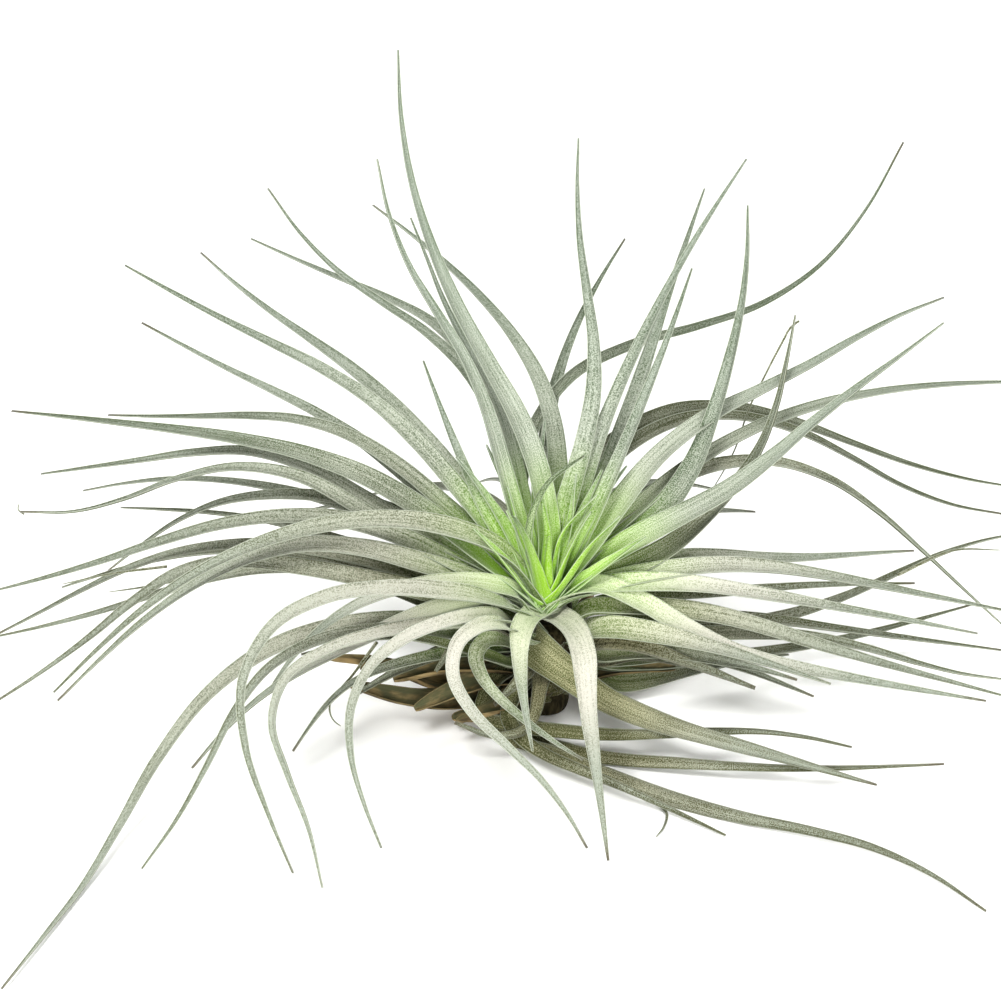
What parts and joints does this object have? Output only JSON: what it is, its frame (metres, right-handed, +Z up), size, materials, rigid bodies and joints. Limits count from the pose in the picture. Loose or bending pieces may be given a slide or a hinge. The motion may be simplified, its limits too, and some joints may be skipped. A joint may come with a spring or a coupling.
{
  "type": "air plant",
  "caption": "Rootless silver-leaved air plant: long tapering channelled leaves arch out from a short stem round a green heart, with dead leaves at its base",
  "frame": {"origin": "middle of the flat cut foot of the stem, on the surface that the plant stands on", "axes": "+Z up along the stem, +X to the right in the picture, where the longest leaves spread, +Y away from the viewer"},
  "size_m": [0.266, 0.2194, 0.15],
  "materials": {
    "silver_leaf": "matt living leaf: grey-green, under a silvery bloom of fine white scales, with faint lengthwise ribs",
    "green_heart": "young living leaf: vivid green at its base, with fewer scales",
    "dead_leaf": "dry leaf, tan to pinkish brown, matt and fibrous",
    "dried_stem": "dry dark brown stem with a rough cut foot"
  },
  "bodies": {
    "root": {"back_leaf_01": "silver_leaf", "back_leaf_02": "silver_leaf", "back_leaf_03": "silver_leaf", "back_leaf_04": "silver_leaf", "back_leaf_05": "silver_leaf", "crown": "green_heart", "dead_leaves": "dead_leaf", "front_leaf_01": "silver_leaf", "front_leaf_02": "silver_leaf", "front_leaf_03": "silver_leaf", "front_leaf_04": "silver_leaf", "front_leaf_05": "silver_leaf", "front_leaf_06": "silver_leaf", "front_leaf_07": "silver_leaf", "front_leaf_08": "silver_leaf", "left_leaf_01": "silver_leaf", "left_leaf_02": "silver_leaf", "left_leaf_03": "silver_leaf", "left_leaf_04": "silver_leaf", "left_leaf_05": "silver_leaf", "left_leaf_06": "silver_leaf", "left_leaf_07": "silver_leaf", "low_leaf_01": "silver_leaf", "low_leaf_02": "silver_leaf", "low_leaf_03": "silver_leaf", "low_leaf_04": "silver_leaf", "low_leaf_05": "silver_leaf", "right_leaf_01": "silver_leaf", "right_leaf_02": "silver_leaf", "right_leaf_03": "silver_leaf", "right_leaf_04": "silver_leaf", "right_leaf_05": "silver_leaf", "right_leaf_06": "silver_leaf", "right_leaf_07": "silver_leaf", "right_leaf_08": "silver_leaf", "right_leaf_09": "silver_leaf", "right_leaf_10": "silver_leaf", "stem": "dried_stem"}
  },
  "joints": []
}
